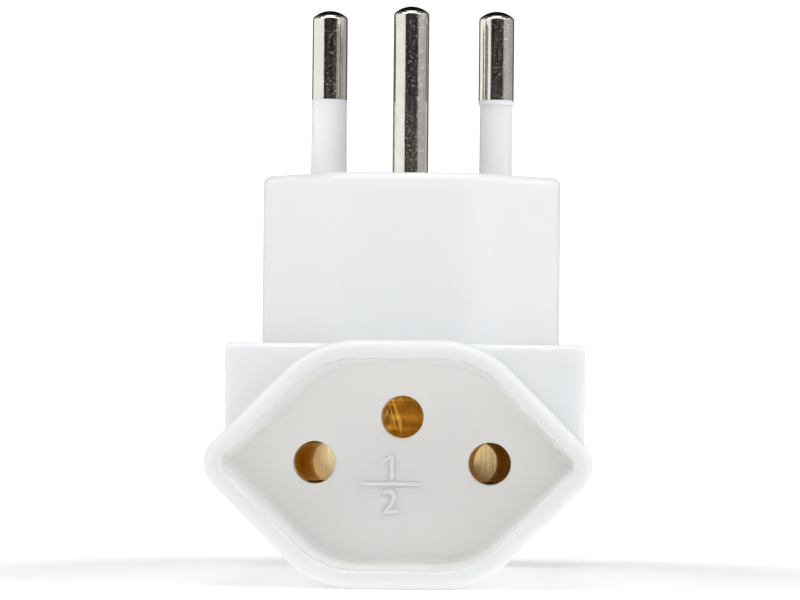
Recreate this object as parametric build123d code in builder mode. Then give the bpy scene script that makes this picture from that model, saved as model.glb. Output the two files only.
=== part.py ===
from build123d import *
import math
import os

os.makedirs("parts", exist_ok=True)

# Two-way mains adapter, 10 A pattern with three round pins.
# The pins point up (+Z). A recessed three-hole socket faces the front (-Y) and
# an identical one faces the rear (+Y). X runs across, from line to neutral.
# The origin is the middle of the flat underside that the adapter stands on.
# All lengths are in millimetres.

# Pin pattern of this plug and socket system
pin_d = 4.0              # round pins
pin_len = 19.0           # from the plug face to the pin tip
pin_pitch = 19.0         # line to neutral
earth_offset = 5.0       # earth sits off the line-neutral axis
hole_d = 4.6             # entry holes in the socket floor

# Socket collar: a hexagon with 45 degree flanks and rounded corners
hex_half_h = 13.15
hex_flat = 8.75          # half of the sharp-cornered flat
hex_tip_r = 3.3
hex_corner_r = 10.8
rim_y = 31.0             # the rim's distance from the pin plane
collar_root = 14.8       # where the collar grows out of the block
rim_round = 0.9
lip_depth = 0.6          # the lip that holds the insert from the front
lip_inset = 1.95
lip_round = 0.3
shell_t = 1.25

# Recess
floor_y = 19.8           # the socket floor's distance from the pin plane
floor_t = 2.5
insert_gap = 0.05
recess_inset = 2.08      # recess wall at its mouth, measured from the outside
recess_draft = 0.28      # the wall closes in by this much down to the floor
recess_tip_r = 1.0
floor_round = 0.75
chamber_r = 4.2          # insulating chambers around the contacts

# Square-shouldered block behind the collars
block_half_w = 19.75
block_half_d = 15.5
block_top = 13.0         # above the sockets' centre line
block_corner = 0.65
block_round = 0.6
block_wall = 1.6

# Plug neck
neck_half_d = 10.0
neck_flat = 7.65
neck_tip_r = 1.86
neck_corner_r = 6.0
neck_top = 32.2          # above the sockets' centre line
neck_round = 0.8
neck_wall = 1.8
neck_ledge = 2.6
neck_half_w = neck_flat + neck_half_d - 0.4142 * neck_tip_r

# Seam between the two housing halves
seam_gap = 0.16
seam_depth = 0.15

# Pin carrier and pins
carrier_t = 6.0
sleeve_len = 8.8         # insulating sleeve, from the plug face
line_sleeve_r = 1.98     # radius at the sleeve's top; each widens a little to its foot
neutral_sleeve_r = 1.80
sleeve_draft = 0.05
sleeve_seat_r = 1.72
earth_seat_r = 1.80
shank_r = 1.5
rivet_r = 1.15
rivet_head_r = 1.7
dome_r = 2.8

# Contacts and strips, bent and rolled from sheet
finger_r = 2.35
finger_t = 0.5
ring_y0, ring_y1 = 0.45, 5.0
mouth_y = 17.1
earth_mouth_y = 16.7
strip_t = 0.8
strip_w = 5.0

zc = hex_half_h                      # height of the sockets' centre line
z_block = zc + block_top
z_face = zc + neck_top               # rim of the plug face
z_carrier = z_face                   # the carrier's face is flush with the rim
z_shoulder = z_carrier - carrier_t   # underside of the pin carrier
z_tip = z_face + pin_len
half_pitch = pin_pitch / 2
tan_corner = math.tan(math.radians(22.5))

# Sketch plane of the front socket: local y is up, its normal points to -Y
socket_plane = Plane(origin=(0, 0, zc), x_dir=(1, 0, 0), z_dir=(0, -1, 0))


def rounded_hexagon(half_h, flat, tip_r, corner_r, inset):
    """Hexagon with 45 degree flanks, drawn inset from its nominal outline."""
    h = half_h - inset
    f = flat - inset * tan_corner
    Polygon((-f - h, 0), (-f, -h), (f, -h), (f + h, 0), (f, h), (-f, h), align=None)
    fillet(vertices().filter_by(lambda v: abs(v.Y) < 1e-4), tip_r)
    fillet(vertices().filter_by(lambda v: abs(abs(v.Y) - h) < 1e-4), corner_r)


def collar_outline(inset, tip_r=None):
    rounded_hexagon(hex_half_h, hex_flat, hex_tip_r - inset if tip_r is None else tip_r, hex_corner_r - inset, inset)


def neck_outline(inset):
    rounded_hexagon(neck_half_d, neck_flat, max(neck_tip_r - inset, 0.5), neck_corner_r - inset, inset)


def block_outline():
    """Square shoulders above, and below them the collar's own 45 degree flanks."""
    low = hex_flat + hex_half_h - block_half_w
    Polygon(
        (-block_half_w, -low), (-hex_flat, -hex_half_h), (hex_flat, -hex_half_h),
        (block_half_w, -low), (block_half_w, block_top), (-block_half_w, block_top), align=None,
    )
    fillet(vertices().filter_by(lambda v: abs(v.Y + low) < 1e-4), 1.2)
    fillet(vertices().filter_by(lambda v: abs(v.Y + hex_half_h) < 1e-4), hex_corner_r)
    fillet(vertices().filter_by(lambda v: abs(v.Y - block_top) < 1e-4), block_corner)


def half_shell():
    """Front half of the housing: collar, half of the block and half of the neck."""
    with BuildPart() as shell:
        # block, with its lower flanks in line with the collar's
        with BuildSketch(socket_plane):
            block_outline()
        extrude(amount=block_half_d)
        fillet(faces().sort_by(Axis.Y)[0].edges(), block_round)
        # collar
        with BuildSketch(socket_plane.offset(collar_root)):
            collar_outline(0)
        extrude(amount=rim_y - collar_root)
        fillet(faces().sort_by(Axis.Y)[0].edges(), rim_round)
        # neck
        with BuildSketch(Plane.XY.offset(z_block - 1)):
            neck_outline(0)
        extrude(amount=z_face - z_block + 1)
        fillet(faces().sort_by(Axis.Z)[-1].edges(), neck_round)
        split(bisect_by=Plane.XZ, keep=Keep.TOP)
        # hollow for the socket insert, closed at the front by a narrow lip
        with BuildSketch(socket_plane.offset(-1)):
            collar_outline(shell_t)
        extrude(amount=rim_y - lip_depth + 1, mode=Mode.SUBTRACT)
        with BuildSketch(socket_plane.offset(rim_y - lip_depth - 0.5)):
            collar_outline(lip_inset)
        extrude(amount=lip_depth + 1, mode=Mode.SUBTRACT)
        fillet(faces().sort_by(Axis.Y)[0].inner_wires()[0].edges(), lip_round)
        # cored shoulders of the block
        with BuildSketch(socket_plane.offset(-1)):
            with Locations((0, (block_top - block_wall - 0.5) / 2)):
                Rectangle(2 * (block_half_w - block_wall), block_top - block_wall + 0.5)
        extrude(amount=block_half_d - block_wall + 1, mode=Mode.SUBTRACT)
        # neck bore, with a ledge that the pin carrier sits on
        with BuildSketch(Plane.XY.offset(zc + 9)):
            neck_outline(neck_ledge)
        extrude(amount=z_face - zc - 9 + 1, mode=Mode.SUBTRACT)
        with BuildSketch(Plane.XY.offset(z_shoulder)):
            neck_outline(neck_wall)
        extrude(amount=z_face - z_shoulder + 1, mode=Mode.SUBTRACT)
        # fine step around the parting face, which leaves the seam between the halves
        with BuildSketch(mode=Mode.PRIVATE) as inner:
            block_outline()
            with Locations((0, neck_top / 2)):
                Rectangle(2 * neck_half_w, neck_top)
            offset(amount=-seam_depth, kind=Kind.INTERSECTION, mode=Mode.REPLACE)
        with BuildSketch(socket_plane):
            Rectangle(80, 120)
            add(inner.sketch, mode=Mode.SUBTRACT)
        extrude(amount=seam_gap / 2, mode=Mode.SUBTRACT)
    return shell.part


def socket_insert():
    """Socket cup: floor with three entry holes, recess wall and contact chambers."""
    with BuildPart() as cup:
        with BuildSketch(socket_plane.offset(floor_y - floor_t)):
            collar_outline(shell_t + insert_gap)
        extrude(amount=rim_y - lip_depth - (floor_y - floor_t))
        with BuildSketch(socket_plane.offset(floor_y)):
            collar_outline(recess_inset + recess_draft, recess_tip_r)
        with BuildSketch(socket_plane.offset(rim_y - lip_depth)):
            collar_outline(recess_inset, recess_tip_r)
        loft(ruled=True, mode=Mode.SUBTRACT)
        floor = faces().filter_by(Axis.Y).filter_by(lambda f: abs(f.center().Y + floor_y) < 1e-3)
        fillet(floor[0].edges(), floor_round)
        # chambers that stand behind the floor
        with BuildSketch(socket_plane.offset(floor_y - floor_t)):
            with Locations((-half_pitch, 0), (half_pitch, 0), (0, earth_offset)):
                Circle(chamber_r)
                Circle(chamber_r - 0.8, mode=Mode.SUBTRACT)
        extrude(amount=-(floor_y - floor_t - 5.4))
        # entry holes, their mouths slightly rounded
        with BuildSketch(socket_plane.offset(floor_y)):
            with Locations((-half_pitch, 0), (half_pitch, 0), (0, earth_offset)):
                Circle(hole_d / 2)
        extrude(amount=-(floor_t + 0.5), mode=Mode.SUBTRACT)
        mouths = edges().filter_by(GeomType.CIRCLE).filter_by(
            lambda e: abs(e.radius - hole_d / 2) < 1e-4 and abs(e.center().Y + floor_y) < 1e-3)
        fillet(mouths, 0.15)
    return cup.part


def arc_band(cx, shift, side, spread):
    """One finger's section: a band of a rolled tube, moved towards the pin."""
    a = math.radians(spread)
    ri, ro = finger_r, finger_r + finger_t
    ox = cx - side * shift
    with BuildLine() as band:
        ThreePointArc((ox + side * ri * math.cos(a), ri * math.sin(a)), (ox + side * ri, 0), (ox + side * ri * math.cos(a), -ri * math.sin(a)))
        Line((ox + side * ri * math.cos(a), -ri * math.sin(a)), (ox + side * ro * math.cos(a), -ro * math.sin(a)))
        ThreePointArc((ox + side * ro * math.cos(a), -ro * math.sin(a)), (ox + side * ro, 0), (ox + side * ro * math.cos(a), ro * math.sin(a)))
        Line((ox + side * ro * math.cos(a), ro * math.sin(a)), (ox + side * ri * math.cos(a), ri * math.sin(a)))
    make_face(band.edges())


def finger(cx, side, bow):
    """Sprung finger, straight at its mouth and root and bowed in at its waist."""
    sections = []
    for y, k in ((mouth_y, 0.0), (14.2, 0.55), (10.8, 1.0), (7.6, 0.55), (ring_y1 - 0.3, 0.0)):
        with BuildSketch(socket_plane.offset(y)) as section:
            arc_band(cx, bow * k, side, 61)
        sections.append(section.sketch.face())
    loft(sections)


def contact_root(cx, cz):
    """Closed root of a contact, with the tab that meets its strip."""
    with BuildSketch(socket_plane.offset(ring_y0)) as disc:
        with Locations((cx, cz)):
            Circle(finger_r + finger_t)
    extrude(disc.sketch, amount=ring_y1 - ring_y0)
    with BuildSketch(socket_plane.offset(ring_y0 + 0.35)) as bore:
        with Locations((cx, cz)):
            Circle(finger_r)
    extrude(bore.sketch, amount=ring_y1 - ring_y0, mode=Mode.SUBTRACT)
    with BuildSketch(socket_plane.offset(1.2)) as tab:
        with Locations((cx, cz + 3.0)):
            Rectangle(3.0, 0.8)
    extrude(tab.sketch, amount=3.4)


def live_contact(side):
    """Line or neutral contact: a strong outer finger against a stiff inner one."""
    with BuildPart() as contact:
        contact_root(side * half_pitch, 0)
        finger(side * half_pitch, side, 1.7)
        finger(side * half_pitch, -side, 0.45)
    return contact.part


def ground_contact():
    """Earth contact: a ring at the mouth, a rolled wall on one side, and a wide tongue bent across the pin's way."""
    cz = earth_offset
    window = 1.25           # the rolled wall is open beyond this x
    tongue = [(2.5, 16.3), (2.78, 16.3), (2.78, 15.5), (-1.5, 9.2), (-2.0, 9.2), (2.2, 15.3), (2.5, 15.95)]
    with BuildPart() as leaf:
        with BuildSketch(Plane.XY.offset(zc + cz - 2.9)):
            Polygon(*[(x, -y) for x, y in tongue], align=None)
        extrude(amount=5.8)
        with BuildSketch(socket_plane.offset(8.0)):
            with Locations((0, cz)):
                Circle(finger_r + finger_t - 0.04)
            with Locations((window + 0.05, cz)):
                Rectangle(8.0, 8.0, align=(Align.MAX, Align.CENTER), mode=Mode.SUBTRACT)
            with Locations((0, cz)):
                Circle(finger_r - 0.05)
        extrude(amount=9.0, mode=Mode.INTERSECT)
    with BuildPart() as contact:
        contact_root(0, cz)
        with BuildSketch(socket_plane.offset(ring_y1 - 0.3)):
            with Locations((0, cz)):
                Circle(finger_r + finger_t)
                Circle(finger_r, mode=Mode.SUBTRACT)
            with Locations((window, cz)):
                Rectangle(8.0, 8.0, align=(Align.MIN, Align.CENTER), mode=Mode.SUBTRACT)
        extrude(amount=earth_mouth_y - ring_y1 + 0.3)
        with BuildSketch(socket_plane.offset(earth_mouth_y - 1.0)):
            with Locations((0, cz)):
                Circle(finger_r + finger_t)
                Circle(finger_r, mode=Mode.SUBTRACT)
        extrude(amount=1.0)
        add(leaf.part)
    return contact.part


def live_strip(side):
    """Line or neutral strip: it joins the front and rear contacts and rises to the pin's foot."""
    cx, z_low = side * half_pitch, zc + 3.4
    riser = cx - side * (strip_w / 2 + strip_t / 2)
    foot_out = cx + side * 2.1
    with BuildPart() as bar:
        with BuildSketch(Plane.XY.offset(z_low)):
            with Locations((cx, 0)):
                RectangleRounded(strip_w, 9.6, 0.6)
            with Locations((cx - side * strip_w / 2, 0)):
                Rectangle(2 * strip_t, 2 * 1.8)
        extrude(amount=strip_t)
        with BuildSketch(Plane.XY.offset(z_low)):
            with Locations((riser, 0)):
                Rectangle(strip_t, 2 * 1.8)
        extrude(amount=z_shoulder - z_low)
        with BuildSketch(Plane.XY.offset(z_shoulder - strip_t)):
            with Locations(((riser - side * strip_t / 2 + foot_out) / 2, 0)):
                Rectangle(abs(riser - side * strip_t / 2 - foot_out), 2 * 1.8)
            with Locations((cx, 0)):
                Circle(rivet_r + 0.05, mode=Mode.SUBTRACT)
        extrude(amount=strip_t)
        fold = edges().filter_by(Axis.Y).filter_by(
            lambda e: abs(e.center().X - riser + side * strip_t / 2) < 1e-3)
        fillet(fold, 0.6)
    return bar.part


def ground_strip():
    """Earth strip: it joins the front and rear earth contacts and rises to the earth pin's foot."""
    z_low = zc + earth_offset + 3.4
    y_lo, y_hi = -earth_offset - 2.1, -1.8
    with BuildPart() as bar:
        with BuildSketch(Plane.XY.offset(z_low)):
            RectangleRounded(strip_w, 9.6, 0.6)
        extrude(amount=strip_t)
        with BuildSketch(Plane.XY.offset(z_low + strip_t / 2)):
            with Locations((0, y_hi - strip_t / 2)):
                Rectangle(strip_w, strip_t)
        extrude(amount=z_shoulder - z_low - strip_t / 2)
        with BuildSketch(Plane.XY.offset(z_shoulder - strip_t)):
            with Locations((0, (y_lo + y_hi) / 2)):
                Rectangle(strip_w, y_hi - y_lo)
            with Locations((0, -earth_offset)):
                Circle(rivet_r + 0.05, mode=Mode.SUBTRACT)
        extrude(amount=strip_t)
        fold = edges().filter_by(Axis.X).filter_by(
            lambda e: abs(e.center().Z - z_shoulder) < 1e-3 and abs(e.center().Y - y_hi) < 1e-3)
        fillet(fold, 0.6)
    return bar.part


def dome(x):
    """Height of the pin tip's spherical dome at a distance x from the axis."""
    return z_tip - dome_r + math.sqrt(dome_r ** 2 - x ** 2)


def turned_pin(cx, cy, shank, neck_to):
    """Riveted pin with a low domed tip, turned about its own axis."""
    r = pin_d / 2
    z0 = z_shoulder
    pts = [(0, z0 - strip_t - 0.8), (rivet_head_r, z0 - strip_t - 0.8), (rivet_head_r, z0 - strip_t), (rivet_r, z0 - strip_t), (rivet_r, z0)]
    pts += [(shank, z0), (shank, neck_to), (r, neck_to)] if shank < r else [(r, z0)]
    with BuildPart() as pin:
        with BuildSketch(Plane(origin=(cx, cy, 0), x_dir=(1, 0, 0), z_dir=(0, -1, 0))):
            with BuildLine():
                Polyline(*pts, (r, z_tip - 1.0))
                ThreePointArc((r, z_tip - 1.0), (1.93, z_tip - 0.8), (1.8, dome(1.8)))
                ThreePointArc((1.8, dome(1.8)), (0.9, dome(0.9)), (0, z_tip))
                Line((0, z_tip), pts[0])
            make_face()
        revolve(axis=Axis((cx, cy, 0), (0, 0, 1)))
    return pin.part


def insulating_sleeve(cx, top_r):
    """Insulating sleeve with a band at its top, seated in the pin carrier."""
    z0, z1 = z_carrier - 2.0, z_face + sleeve_len
    bore = shank_r + 0.02
    pts = [(bore, z0), (sleeve_seat_r, z0), (sleeve_seat_r, z_carrier), (top_r + sleeve_draft, z_carrier)]
    pts += [(top_r, z1 - 0.5), (pin_d / 2, z1 - 0.5), (pin_d / 2, z1), (bore, z1)]
    with BuildPart() as sleeve:
        with BuildSketch(Plane(origin=(cx, 0, 0), x_dir=(1, 0, 0), z_dir=(0, -1, 0))):
            Polygon(*pts, align=None)
        revolve(axis=Axis((cx, 0, 0), (0, 0, 1)))
    return sleeve.part


# ---------------------------------------------------------------- housing

with BuildPart() as front_housing:
    add(half_shell())
front_housing.part.label = "front_housing"
export_step(front_housing.part, "parts/front_housing.step")

with BuildPart() as rear_housing:
    add(mirror(half_shell(), about=Plane.XZ, mode=Mode.PRIVATE))
rear_housing.part.label = "rear_housing"
export_step(rear_housing.part, "parts/rear_housing.step")

# ---------------------------------------------------------------- sockets

with BuildPart() as front_socket_insert:
    add(socket_insert())
front_socket_insert.part.label = "front_socket_insert"
export_step(front_socket_insert.part, "parts/front_socket_insert.step")

with BuildPart() as rear_socket_insert:
    add(mirror(socket_insert(), about=Plane.XZ, mode=Mode.PRIVATE))
rear_socket_insert.part.label = "rear_socket_insert"
export_step(rear_socket_insert.part, "parts/rear_socket_insert.step")

# ---------------------------------------------------------------- plug face

with BuildPart() as pin_carrier:
    with BuildSketch(Plane.XY.offset(z_shoulder)):
        neck_outline(neck_wall + 0.05)
    extrude(amount=carrier_t)
    fillet(faces().sort_by(Axis.Z)[-1].edges(), 0.25)
    with BuildSketch(Plane.XY.offset(z_shoulder)):
        with Locations((-half_pitch, 0), (half_pitch, 0)):
            Circle(shank_r + 0.03)
        with Locations((0, -earth_offset)):
            Circle(earth_seat_r + 0.03)
    extrude(amount=carrier_t, mode=Mode.SUBTRACT)
    with BuildSketch(Plane.XY.offset(z_carrier - 2.0)):
        with Locations((-half_pitch, 0), (half_pitch, 0)):
            Circle(sleeve_seat_r + 0.04)
    extrude(amount=3.0, mode=Mode.SUBTRACT)
pin_carrier.part.label = "pin_carrier"
export_step(pin_carrier.part, "parts/pin_carrier.step")

with BuildPart() as line_pin:
    add(turned_pin(-half_pitch, 0, shank_r, z_face + sleeve_len))
line_pin.part.label = "line_pin"
export_step(line_pin.part, "parts/line_pin.step")

with BuildPart() as neutral_pin:
    add(turned_pin(half_pitch, 0, shank_r, z_face + sleeve_len))
neutral_pin.part.label = "neutral_pin"
export_step(neutral_pin.part, "parts/neutral_pin.step")

with BuildPart() as earth_pin:
    add(turned_pin(0, -earth_offset, earth_seat_r, z_carrier))
earth_pin.part.label = "earth_pin"
export_step(earth_pin.part, "parts/earth_pin.step")

with BuildPart() as line_pin_sleeve:
    add(insulating_sleeve(-half_pitch, line_sleeve_r))
line_pin_sleeve.part.label = "line_pin_sleeve"
export_step(line_pin_sleeve.part, "parts/line_pin_sleeve.step")

with BuildPart() as neutral_pin_sleeve:
    add(insulating_sleeve(half_pitch, neutral_sleeve_r))
neutral_pin_sleeve.part.label = "neutral_pin_sleeve"
export_step(neutral_pin_sleeve.part, "parts/neutral_pin_sleeve.step")

# ---------------------------------------------------------------- contacts

with BuildPart() as front_line_contact:
    add(live_contact(-1))
front_line_contact.part.label = "front_line_contact"
export_step(front_line_contact.part, "parts/front_line_contact.step")

with BuildPart() as front_neutral_contact:
    add(live_contact(1))
front_neutral_contact.part.label = "front_neutral_contact"
export_step(front_neutral_contact.part, "parts/front_neutral_contact.step")

with BuildPart() as front_earth_contact:
    add(ground_contact())
front_earth_contact.part.label = "front_earth_contact"
export_step(front_earth_contact.part, "parts/front_earth_contact.step")

with BuildPart() as rear_line_contact:
    add(mirror(live_contact(-1), about=Plane.XZ, mode=Mode.PRIVATE))
rear_line_contact.part.label = "rear_line_contact"
export_step(rear_line_contact.part, "parts/rear_line_contact.step")

with BuildPart() as rear_neutral_contact:
    add(mirror(live_contact(1), about=Plane.XZ, mode=Mode.PRIVATE))
rear_neutral_contact.part.label = "rear_neutral_contact"
export_step(rear_neutral_contact.part, "parts/rear_neutral_contact.step")

with BuildPart() as rear_earth_contact:
    add(mirror(ground_contact(), about=Plane.XZ, mode=Mode.PRIVATE))
rear_earth_contact.part.label = "rear_earth_contact"
export_step(rear_earth_contact.part, "parts/rear_earth_contact.step")

# ---------------------------------------------------------------- strips

with BuildPart() as line_busbar:
    add(live_strip(-1))
line_busbar.part.label = "line_busbar"
export_step(line_busbar.part, "parts/line_busbar.step")

with BuildPart() as neutral_busbar:
    add(live_strip(1))
neutral_busbar.part.label = "neutral_busbar"
export_step(neutral_busbar.part, "parts/neutral_busbar.step")

with BuildPart() as earth_busbar:
    add(ground_strip())
earth_busbar.part.label = "earth_busbar"
export_step(earth_busbar.part, "parts/earth_busbar.step")

# ---------------------------------------------------------------- partition

with BuildPart() as insulating_partition:
    with BuildSketch(socket_plane.offset(-0.38)):
        collar_outline(shell_t + 0.15)
        with Locations((0, 3.2 + 10)):
            Rectangle(50, 20, mode=Mode.SUBTRACT)
        with Locations((0, 4.0)):
            Rectangle(7.0, 8.4)
    extrude(amount=0.76)
insulating_partition.part.label = "insulating_partition"
export_step(insulating_partition.part, "parts/insulating_partition.step")
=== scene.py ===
import math

import bpy
from mathutils import Matrix, Vector


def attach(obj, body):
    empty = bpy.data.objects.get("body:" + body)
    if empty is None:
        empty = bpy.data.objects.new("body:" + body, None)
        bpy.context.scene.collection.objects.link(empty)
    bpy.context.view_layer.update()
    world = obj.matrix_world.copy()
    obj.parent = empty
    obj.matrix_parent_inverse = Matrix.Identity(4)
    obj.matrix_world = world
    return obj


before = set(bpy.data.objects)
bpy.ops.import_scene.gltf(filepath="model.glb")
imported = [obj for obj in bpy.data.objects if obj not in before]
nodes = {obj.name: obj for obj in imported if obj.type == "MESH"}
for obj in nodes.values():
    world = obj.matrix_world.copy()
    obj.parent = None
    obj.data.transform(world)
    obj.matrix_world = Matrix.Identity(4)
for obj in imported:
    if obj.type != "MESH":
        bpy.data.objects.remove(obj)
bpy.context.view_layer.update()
scene = bpy.context.scene

MM = 0.001
ZC = 13.15          # height of the sockets' centre line
FLOOR_Y = 19.8      # the socket floor's distance from the pin plane


# ---------------------------------------------------------------- camera
# The object is turned a little under the camera, which looks slightly up at it.

def rot(axis, deg):
    return Matrix.Rotation(math.radians(deg), 3, axis)


turn = rot("Y", 0.555) @ rot("X", -1.724) @ rot("Z", -2.501)
shift_mm = Vector((1.058, 409.328, -18.253))
eye = -(turn.transposed() @ shift_mm) + Vector((0, 0, ZC))
right, ahead, up = (turn.transposed() @ Vector(v) for v in ((1, 0, 0), (0, 1, 0), (0, 0, 1)))
cam_data = bpy.data.cameras.new("camera")
cam_data.sensor_width = 36.0
cam_data.sensor_fit = "HORIZONTAL"
cam_data.lens = 3600.0 / 800.0 * 36.0
cam_data.clip_start = 0.01
cam_data.clip_end = 20.0
cam = bpy.data.objects.new("camera", cam_data)
cam.matrix_world = Matrix((
    (right.x, up.x, -ahead.x, eye.x * MM),
    (right.y, up.y, -ahead.y, eye.y * MM),
    (right.z, up.z, -ahead.z, eye.z * MM),
    (0, 0, 0, 1),
))
scene.collection.objects.link(cam)
scene.camera = cam


# ---------------------------------------------------------------- node helpers

class Nodes:
    """Short hand for building a material's node tree."""

    def __init__(self, name):
        self.mat = bpy.data.materials.new(name)
        self.mat.use_nodes = True
        self.tree = self.mat.node_tree
        self.bsdf = self.tree.nodes["Principled BSDF"]
        self.coord = self.add("ShaderNodeTexCoord")

    def add(self, kind, **values):
        n = self.tree.nodes.new(kind)
        for key, value in values.items():
            if hasattr(n, key):
                setattr(n, key, value)
            else:
                n.inputs[key.replace("_", " ")].default_value = value
        return n

    def link(self, a, b):
        self.tree.links.new(a, b)

    def scaled(self, x, y, z):
        """Object coordinates in metres, stretched along each axis."""
        m = self.add("ShaderNodeMapping")
        m.inputs["Scale"].default_value = (x, y, z)
        self.link(self.coord.outputs["Object"], m.inputs["Vector"])
        return m.outputs["Vector"]

    def noise(self, vector, scale, detail=3.0, rough=0.5):
        n = self.add("ShaderNodeTexNoise")
        n.inputs["Scale"].default_value = scale
        n.inputs["Detail"].default_value = detail
        n.inputs["Roughness"].default_value = rough
        self.link(vector, n.inputs["Vector"])
        return n.outputs["Fac"]

    def ramp(self, fac, stops, interpolation="LINEAR"):
        r = self.add("ShaderNodeValToRGB")
        r.color_ramp.interpolation = interpolation
        el = r.color_ramp.elements
        while len(el) < len(stops):
            el.new(0.5)
        for e, (pos, col) in zip(el, stops):
            e.position = pos
            e.color = (*col, 1.0) if len(col) == 3 else col
        self.link(fac, r.inputs["Fac"])
        return r.outputs["Color"]

    def math(self, op, a, b=0.5, c=None, clamp=False):
        m = self.add("ShaderNodeMath")
        m.operation = op
        m.use_clamp = clamp
        for i, v in enumerate((a, b, c)):
            if v is None:
                continue
            if isinstance(v, (int, float)):
                m.inputs[i].default_value = v
            else:
                self.link(v, m.inputs[i])
        return m.outputs[0]

    def bump(self, height, strength, distance, normal=None):
        b = self.add("ShaderNodeBump")
        b.inputs["Strength"].default_value = strength
        b.inputs["Distance"].default_value = distance
        self.link(height, b.inputs["Height"])
        if normal is not None:
            self.link(normal, b.inputs["Normal"])
        return b.outputs["Normal"]

    def set(self, **values):
        for key, value in values.items():
            self.bsdf.inputs[key.replace("_", " ")].default_value = value


def plastic(name, light, dark, rough, sss, reach=0.002):
    """Moulded plastic: faint flow mottling, a fine eroded mould texture and a soft depth."""
    n = Nodes(name)
    v = n.scaled(1, 1, 1)
    flow = n.noise(v, 90.0, 4.0, 0.55)
    n.link(n.ramp(flow, [(0.25, dark), (0.75, light)]), n.bsdf.inputs["Base Color"])
    fine = n.noise(v, 5200.0, 2.0, 0.5)
    grain = n.noise(v, 1400.0, 2.0, 0.5)
    n.link(n.ramp(grain, [(0.3, (rough - 0.03,) * 3), (0.7, (rough + 0.05,) * 3)]), n.bsdf.inputs["Roughness"])
    height = n.math("ADD", n.math("MULTIPLY", fine, 0.6), n.math("MULTIPLY", grain, 0.4))
    n.link(n.bump(height, 0.10, 0.00002), n.bsdf.inputs["Normal"])
    n.set(IOR=1.5, Subsurface_Weight=sss, Subsurface_Radius=(1.0, 0.97, 0.93), Subsurface_Scale=reach)
    return n.mat


def plated(name):
    """Nickel plating over a turned pin: bright, with fine pitting, rub marks along the pin and a faint warm haze."""
    n = Nodes(name)
    v = n.scaled(1, 1, 1)
    pits = n.noise(v, 5200.0, 3.0, 0.75)
    rub = n.noise(n.scaled(4200, 4200, 130), 1.0, 3.0, 0.6)
    haze = n.noise(v, 380.0, 3.0, 0.6)
    n.link(n.ramp(haze, [(0.3, (0.68, 0.645, 0.575)), (0.7, (0.77, 0.74, 0.68))]), n.bsdf.inputs["Base Color"])
    mix = n.math("ADD", n.math("MULTIPLY", pits, 0.5), n.math("MULTIPLY", rub, 0.5))
    specks = n.ramp(n.noise(v, 3900.0, 2.0, 0.6), [(0.56, (0, 0, 0)), (0.72, (1, 1, 1))])
    rough = n.math("ADD", n.ramp(mix, [(0.35, (0.07,) * 3), (0.65, (0.15,) * 3)]), n.math("MULTIPLY", specks, 0.14))
    n.link(rough, n.bsdf.inputs["Roughness"])
    grain = n.math("ADD", mix, n.math("MULTIPLY", specks, 0.12))
    n.link(n.bump(grain, 0.45, 0.000012), n.bsdf.inputs["Normal"])
    n.set(Metallic=1.0)
    return n.mat


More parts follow.
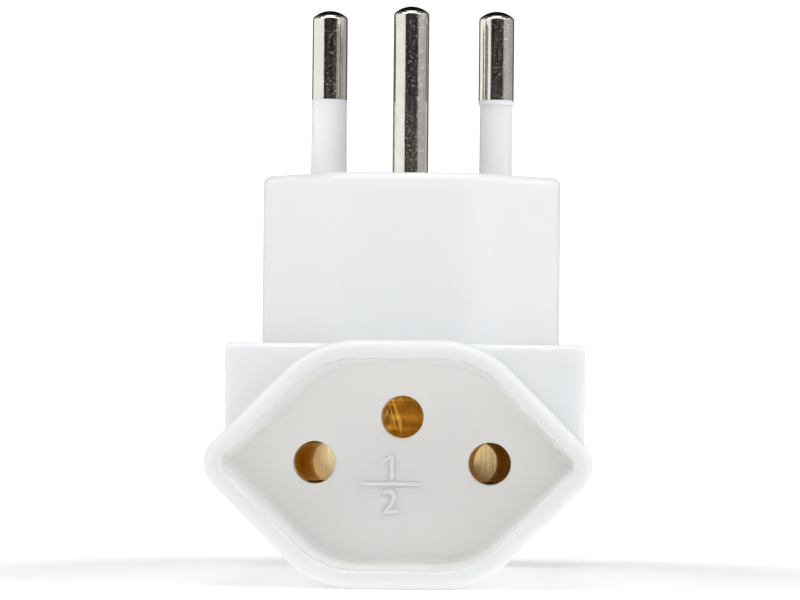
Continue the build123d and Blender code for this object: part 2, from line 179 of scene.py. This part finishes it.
def brass(name, scored=False):
    """Rolled brass sheet with roll lines and tarnish, and a painted glow (emission) that stands in for the light
    bouncing about inside the closed brass chamber.

    A scored one has slanting rub marks where the pin rubs, lighter in colour and with a stronger painted glow. The
    others have a painted glow and a lighter colour, painted light, on the plate that the fingers are bent from, and
    painted shade, a darker colour, on the outer fingers.
    """
    n = Nodes(name)
    v = n.scaled(1, 1, 1)
    lines = n.noise(n.scaled(3600, 3600, 160), 1.0, 3.0, 0.65)
    tarnish = n.noise(v, 520.0, 4.0, 0.6)
    colour = n.ramp(tarnish, [(0.30, (0.88, 0.66, 0.34)), (0.55, (0.94, 0.74, 0.40)), (0.8, (0.97, 0.79, 0.47))])
    place = n.add("ShaderNodeSeparateXYZ")
    n.link(n.coord.outputs["Object"], place.inputs[0])
    x, y, z = place.outputs
    side = n.math("SUBTRACT", n.math("MULTIPLY", n.math("LESS_THAN", y, 0.0), 2.0), 1.0)
    x = n.math("MULTIPLY", x, side)     # seen from its own side, also on the rear contacts
    height = lines
    if scored:
        lean = n.add("ShaderNodeMapping")
        lean.inputs["Rotation"].default_value = (0, math.radians(17), 0)
        n.link(n.coord.outputs["Object"], lean.inputs["Vector"])
        m = n.add("ShaderNodeMapping")
        m.inputs["Scale"].default_value = (3000, 200, 70)
        n.link(lean.outputs["Vector"], m.inputs["Vector"])
        marks = n.noise(m.outputs["Vector"], 1.0, 1.0, 0.5)
        sharp = n.ramp(marks, [(0.52, (0, 0, 0)), (0.57, (1, 1, 1))])
        # scored: the rub marks are real wear, and they also carry a painted glow and a lighter colour
        wear_and_glow_mask = n.math("MULTIPLY", sharp, n.math("LESS_THAN", x, -0.0004))
        # painted glow colours: faint all over the sheet, stronger on the rub marks
        dim, bright, glow_marked = (0.016, 0.0080, 0.0009), (0.025, 0.0128, 0.0015), (0.21, 0.135, 0.036)
    else:
        # the root plate gets a painted glow and a lighter colour, full on the inner side of it and faint on the other
        root = n.math("LESS_THAN", n.math("ABSOLUTE", y), 1.2 * MM)
        glow_side = n.math("SUBTRACT", 1.0, n.math("MULTIPLY", n.math("GREATER_THAN", x, 0.0), 0.9))
        wear_and_glow_mask = n.math("MULTIPLY", root, glow_side)
        # painted shade: the outer fingers, more than 9.8 mm out, get a darker colour
        painted_shade = n.add("ShaderNodeMix", data_type="RGBA", blend_type="MULTIPLY")
        n.link(n.math("DIVIDE", n.math("SUBTRACT", -9.8 * MM, x), 0.3 * MM, clamp=True), painted_shade.inputs["Factor"])
        n.link(colour, painted_shade.inputs[6])
        painted_shade.inputs[7].default_value = (0.80, 0.72, 0.55, 1)
        colour = painted_shade.outputs[2]
        # painted glow colours: very faint all over the sheet, strong on the root plate
        dim, bright, glow_marked = (0.004, 0.001, 0.0), (0.012, 0.0045, 0.0002), (0.25, 0.19, 0.11)
    # the marked places get a lighter brass colour: real polish on the rub marks, painted light on the root plate
    mix = n.add("ShaderNodeMix", data_type="RGBA")
    n.link(wear_and_glow_mask, mix.inputs["Factor"])
    n.link(colour, mix.inputs[6])
    mix.inputs[7].default_value = (1.0, 0.86, 0.52, 1)
    # painted glow: emission standing in for the light that bounces about inside the brass chamber, faint all over and
    # stronger on the marked places
    painted_glow = n.add("ShaderNodeMix", data_type="RGBA")
    n.link(wear_and_glow_mask, painted_glow.inputs["Factor"])
    n.link(n.ramp(n.math("MULTIPLY", n.math("ADD", tarnish, lines), 0.5), [(0.35, dim), (0.65, bright)]), painted_glow.inputs[6])
    painted_glow.inputs[7].default_value = (*glow_marked, 1)
    if scored:
        height = n.math("ADD", lines, n.math("MULTIPLY", wear_and_glow_mask, 2.0))
    n.link(mix.outputs[2], n.bsdf.inputs["Base Color"])
    n.link(painted_glow.outputs[2], n.bsdf.inputs["Emission Color"])
    n.link(n.ramp(lines, [(0.3, (0.16,) * 3), (0.7, (0.30,) * 3)]), n.bsdf.inputs["Roughness"])
    n.link(n.bump(height, 0.4, 0.00002), n.bsdf.inputs["Normal"])
    n.set(Metallic=1.0, Emission_Strength=1.0)
    return n.mat


housing = plastic("housing_plastic", (0.858, 0.872, 0.882), (0.842, 0.856, 0.868), 0.36, 0.8, 0.0015)
insert = plastic("insert_plastic", (0.968, 0.96, 0.932), (0.958, 0.95, 0.922), 0.40, 1.0, 0.0012)
mark = plastic("mark_plastic", (0.95, 0.95, 0.94), (0.94, 0.94, 0.93), 0.40, 0.0)
carrier = plastic("carrier_plastic", (0.83, 0.84, 0.845), (0.81, 0.82, 0.83), 0.45, 0.6, 0.003)
sleeve = plastic("sleeve_plastic", (0.925, 0.935, 0.942), (0.915, 0.925, 0.932), 0.33, 0.5, 0.0008)
insulator = plastic("insulator_plastic", (0.80, 0.77, 0.70), (0.76, 0.73, 0.66), 0.5, 0.1)
nickel = plated("nickel_plate")
sheet_brass = brass("contact_brass_sheet")
scored_brass = brass("scored_brass_sheet", scored=True)


def wear(name, mat):
    o = nodes[name]
    o.data.materials.clear()
    o.data.materials.append(mat)
    for p in o.data.polygons:
        p.material_index = 0


for name in nodes:
    if "housing" in name:
        wear(name, housing)
    elif "insert" in name:
        wear(name, insert)
    elif "sleeve" in name:
        wear(name, sleeve)
    elif name == "pin_carrier":
        wear(name, carrier)
    elif name.endswith("_pin"):
        wear(name, nickel)
    elif "earth_contact" in name:
        wear(name, scored_brass)
    elif "contact" in name or "busbar" in name:
        wear(name, sheet_brass)
    else:
        wear(name, insulator)


# ---------------------------------------------------------------- raised marks
# A short bar with a plain socket number over it and the number of sockets under it,
# moulded on each socket's floor.

def raised(name, side, curve, place, height):
    """A flat curve raised from a socket's floor: side is -1 at the front and 1 at the rear."""
    source = bpy.data.objects.new(name + "_curve", curve)
    scene.collection.objects.link(source)
    bpy.context.view_layer.update()
    mesh = bpy.data.meshes.new_from_object(source.evaluated_get(bpy.context.evaluated_depsgraph_get()))
    bpy.data.objects.remove(source)
    x0, z0 = place
    for v in mesh.vertices:
        x, z, out = v.co
        v.co = (-side * (x0 + x) * MM, side * (FLOOR_Y + height + out) * MM, (ZC + z0 + z) * MM)
    mesh.name = name
    piece = bpy.data.objects.new(name, mesh)
    mesh.materials.clear()
    mesh.materials.append(mark)
    scene.collection.objects.link(piece)
    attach(piece, "root")
    return piece


def digit(text, size):
    c = bpy.data.curves.new("digit", "FONT")
    c.body = text
    c.size = size
    c.align_x = "CENTER"
    c.offset = 0.02
    c.extrude = 0.06
    c.bevel_depth = 0.03
    c.bevel_resolution = 1
    c.resolution_u = 6
    return c


def outline(name, pts):
    """A flat raised shape with a closed outline."""
    c = bpy.data.curves.new(name, "CURVE")
    c.dimensions = "2D"
    c.fill_mode = "BOTH"
    sp = c.splines.new("POLY")
    sp.points.add(len(pts) - 1)
    for p, (x, y) in zip(sp.points, pts):
        p.co = (x, y, 0, 1)
    sp.use_cyclic_u = True
    c.extrude = 0.06
    c.bevel_depth = 0.03
    c.bevel_resolution = 1
    return c


def one():
    """The digit 1, with a flag and no foot."""
    return outline("one", [(-0.02, 0.0), (0.38, 0.0), (0.38, 2.68), (0.04, 2.68), (-0.62, 2.12), (-0.62, 1.72), (-0.02, 2.16)])


def bar(length, thickness):
    h, q = thickness / 2, length / 2 - thickness / 2
    pts = [(q + h * math.cos(a), h * math.sin(a)) for a in (math.radians(v) for v in range(-90, 91, 30))]
    return outline("bar", pts + [(-x, y) for x, y in reversed(pts)])


for label, side, numbers in (("front", -1, "12"), ("rear", 1, "22")):
    raised(label + "_mark_bar", side, bar(6.4, 0.36), (-1.25, -2.28), -0.068)
    raised(label + "_mark_upper", side, one() if numbers[0] == "1" else digit(numbers[0], 3.7), (-1.25, -1.72), -0.068)
    raised(label + "_mark_lower", side, digit(numbers[1], 3.7), (-1.25, -5.45), -0.068)

# ---------------------------------------------------------------- stage and light

# The paper's own glow, and the glow that only the camera sees further out, where the
# paper turns into a white background.
GLOW_NEAR, GLOW_FAR = 0.33, 1.0


def quad(name, corners, mat):
    me = bpy.data.meshes.new(name)
    me.from_pydata([Vector(c) for c in corners], [], [(0, 1, 2, 3)])
    o = bpy.data.objects.new(name, me)
    me.materials.append(mat)
    scene.collection.objects.link(o)
    return o


paper = Nodes("floor_paper")
paper.set(Base_Color=(0.8, 0.8, 0.8, 1.0), Roughness=0.8, Emission_Color=(1, 1, 1, 1))
paper_at = paper.add("ShaderNodeSeparateXYZ")
paper.link(paper.coord.outputs["Object"], paper_at.inputs[0])
px, py = paper_at.outputs[0], paper_at.outputs[1]
reach = paper.math("SQRT", paper.math("ADD", paper.math("MULTIPLY", px, px), paper.math("MULTIPLY", py, py)))
far = paper.math("DIVIDE", paper.math("SUBTRACT", reach, 0.045), 0.10, clamp=True)
seen_by = paper.add("ShaderNodeLightPath")
white = paper.math("MULTIPLY", paper.math("MULTIPLY", far, seen_by.outputs["Is Camera Ray"]), GLOW_FAR)
paper.link(paper.math("ADD", white, GLOW_NEAR), paper.bsdf.inputs["Emission Strength"])
quad("floor", [(-4, -4, 0), (4, -4, 0), (4, 4, 0), (-4, 4, 0)], paper.mat)

# A studio of soft panels all round, as rings of brightness by azimuth. Each ring
# starts behind the object and runs by way of the left, the front and the right.
RINGS = {
    "ring_low": (0.0, 0.0, 0.6, 1.35, 0.0, 0.0, 0.33, 0.0, 4.0, 4.4, 0.6, 0.0),
    "ring_mid": (0.0, 0.0, 0.2, 0.1, 0.2, 0.18, 0.1, 0.1, 0.18, 0.1, 0.3, 0.0),
    "ring_high": (0.0, 0.1, 0.27, 0.18),
}
ZENITH = 2.6
HORIZON = 0.95      # the paper's glow just above the horizon
# Between 1 and 9 degrees up, the side panels end sharply and the front and back
# are dark: (azimuth from the front in degrees, brightness) where each stretch starts.
BAND = ((-180, 0.12), (-134, 1.15), (-37.6, 0.015), (49.3, 0.46), (134, 0.12))

world = bpy.data.worlds.new("studio")
world.use_nodes = True
scene.world = world
wt = world.node_tree
wt.nodes.clear()


def wnode(kind, **inputs):
    n = wt.nodes.new(kind)
    for key, value in inputs.items():
        n.inputs[int(key[1:])].default_value = value
    return n


def wmath(op, a, b=0.0, c=None):
    n = wt.nodes.new("ShaderNodeMath")
    n.operation = op
    for i, v in enumerate((a, b, c)):
        if v is None:
            continue
        if isinstance(v, (int, float)):
            n.inputs[i].default_value = v
        else:
            wt.links.new(v, n.inputs[i])
    return n.outputs[0]


direction = wt.nodes.new("ShaderNodeTexCoord").outputs["Generated"]
axes = wt.nodes.new("ShaderNodeSeparateXYZ")
wt.links.new(direction, axes.inputs[0])
dx, dy, dz = axes.outputs
azimuth = wmath("ADD", wmath("DIVIDE", wmath("ARCTAN2", dx, wmath("MULTIPLY", dy, -1.0)), 2 * math.pi), 0.5)
height = wmath("ARCSINE", wmath("MINIMUM", wmath("MAXIMUM", dz, -1.0), 1.0))


def ring(name, values):
    r = wt.nodes.new("ShaderNodeValToRGB")
    r.name = name
    el = r.color_ramp.elements
    n = len(values)
    while len(el) < n + 1:
        el.new(0.5)
    for i, e in enumerate(el):
        v = values[i % n]
        e.position = i / n
        e.color = (v, v, v, 1)
    wt.links.new(azimuth, r.inputs[0])
    return r.outputs["Color"]


def hat(low, mid, high):
    """1 at mid, falling to 0 at low and high, by elevation in radians."""
    up_part = wmath("DIVIDE", wmath("SUBTRACT", height, low), mid - low) if low is not None else 1.0
    down_part = wmath("DIVIDE", wmath("SUBTRACT", high, height), high - mid) if high is not None else 1.0
    return wmath("MAXIMUM", wmath("MINIMUM", wmath("MINIMUM", up_part, down_part), 1.0), 0.0)


def steps(name, stretches, soft=1.2):
    """A ring of flat stretches with narrow soft edges between them."""
    r = wt.nodes.new("ShaderNodeValToRGB")
    r.name = name
    stops = [(0.0, stretches[0][1])]
    for (a0, v0), (a1, v1) in zip(stretches, stretches[1:]):
        stops += [((a1 - soft) / 360 + 0.5, v0), ((a1 + soft) / 360 + 0.5, v1)]
    stops.append((1.0, stretches[-1][1]))
    el = r.color_ramp.elements
    while len(el) < len(stops):
        el.new(0.5)
    for e, (pos, v) in zip(el, stops):
        e.position = pos
        e.color = (v, v, v, 1)
    wt.links.new(azimuth, r.inputs[0])
    return r.outputs["Color"]


def plateau(a, b, c, d):
    """1 between b and c, falling to 0 at a and d, by elevation in degrees."""
    a, b, c, d = (math.radians(v) for v in (a, b, c, d))
    rise = wmath("DIVIDE", wmath("SUBTRACT", height, a), b - a)
    fall = wmath("DIVIDE", wmath("SUBTRACT", d, height), d - c)
    return wmath("MAXIMUM", wmath("MINIMUM", wmath("MINIMUM", rise, fall), 1.0), 0.0)


LEVELS = [math.radians(v) for v in (8, 38, 66, 90)]
in_band = plateau(0.8, 1.8, 8.5, 10.5)
above_band = plateau(8.5, 10.5, 95, 96)
below_band = plateau(-96, -95, 0.8, 1.8)
weights = [
    wmath("MULTIPLY", hat(None, LEVELS[0], LEVELS[1]), above_band),
    hat(LEVELS[0], LEVELS[1], LEVELS[2]),
    hat(LEVELS[1], LEVELS[2], LEVELS[3]),
    hat(LEVELS[2], LEVELS[3], None),
]
total = None
for w, (name, values) in zip(weights, RINGS.items()):
    m = wt.nodes.new("ShaderNodeVectorMath")
    m.operation = "SCALE"
    wt.links.new(ring(name, values), m.inputs[0])
    wt.links.new(w, m.inputs["Scale"])
    if total is None:
        total = m.outputs[0]
    else:
        add = wt.nodes.new("ShaderNodeVectorMath")
        add.operation = "ADD"
        wt.links.new(total, add.inputs[0])
        wt.links.new(m.outputs[0], add.inputs[1])
        total = add.outputs[0]
edge = wt.nodes.new("ShaderNodeVectorMath")
edge.operation = "SCALE"
wt.links.new(steps("band", BAND), edge.inputs[0])
wt.links.new(in_band, edge.inputs["Scale"])
add = wt.nodes.new("ShaderNodeVectorMath")
add.operation = "ADD"
wt.links.new(total, add.inputs[0])
wt.links.new(edge.outputs[0], add.inputs[1])
total = add.outputs[0]
glow = wt.nodes.new("ShaderNodeVectorMath")
glow.operation = "SCALE"
glow.inputs[0].default_value = (HORIZON, HORIZON, HORIZON)
wt.links.new(below_band, glow.inputs["Scale"])
add = wt.nodes.new("ShaderNodeVectorMath")
add.operation = "ADD"
wt.links.new(total, add.inputs[0])
wt.links.new(glow.outputs[0], add.inputs[1])
total = add.outputs[0]
cap = wt.nodes.new("ShaderNodeVectorMath")
cap.operation = "SCALE"
cap.name = "zenith"
cap.inputs[0].default_value = (ZENITH, ZENITH, ZENITH)
wt.links.new(weights[3], cap.inputs["Scale"])
add = wt.nodes.new("ShaderNodeVectorMath")
add.operation = "ADD"
wt.links.new(total, add.inputs[0])
wt.links.new(cap.outputs[0], add.inputs[1])

studio = wt.nodes.new("ShaderNodeBackground")
wt.links.new(add.outputs[0], studio.inputs["Color"])
sweep = wt.nodes.new("ShaderNodeBackground")
sweep.inputs["Color"].default_value = (1, 1, 1, 1)
sweep.inputs["Strength"].default_value = 1.1
seen = wt.nodes.new("ShaderNodeLightPath")
choose = wt.nodes.new("ShaderNodeMixShader")
wt.links.new(seen.outputs["Is Camera Ray"], choose.inputs[0])
wt.links.new(studio.outputs[0], choose.inputs[1])
wt.links.new(sweep.outputs[0], choose.inputs[2])
out = wt.nodes.new("ShaderNodeOutputWorld")
wt.links.new(choose.outputs[0], out.inputs[0])


def panel(name, place, aim, size, power):
    data = bpy.data.lights.new(name, "AREA")
    data.shape = "RECTANGLE"
    data.size, data.size_y = size
    data.energy = power
    o = bpy.data.objects.new(name, data)
    o.location = place
    o.rotation_euler = (Vector(aim) - Vector(place)).to_track_quat("-Z", "Y").to_euler()
    scene.collection.objects.link(o)


panel("panel_front", (-0.03, -0.42, 0.27), (0, -0.02, 0.03), (0.30, 0.18), 0.018)
panel("panel_left", (-0.32, -0.26, 0.31), (0, 0, 0.03), (0.25, 0.25), 0.645)
panel("panel_right", (0.32, -0.26, 0.31), (0, 0, 0.03), (0.25, 0.25), 0.265)
panel("panel_top", (0, -0.20, 0.40), (0, -0.01, 0.03), (0.35, 0.2), 0.56)

scene.view_settings.view_transform = "Standard"
scene.view_settings.look = "None"
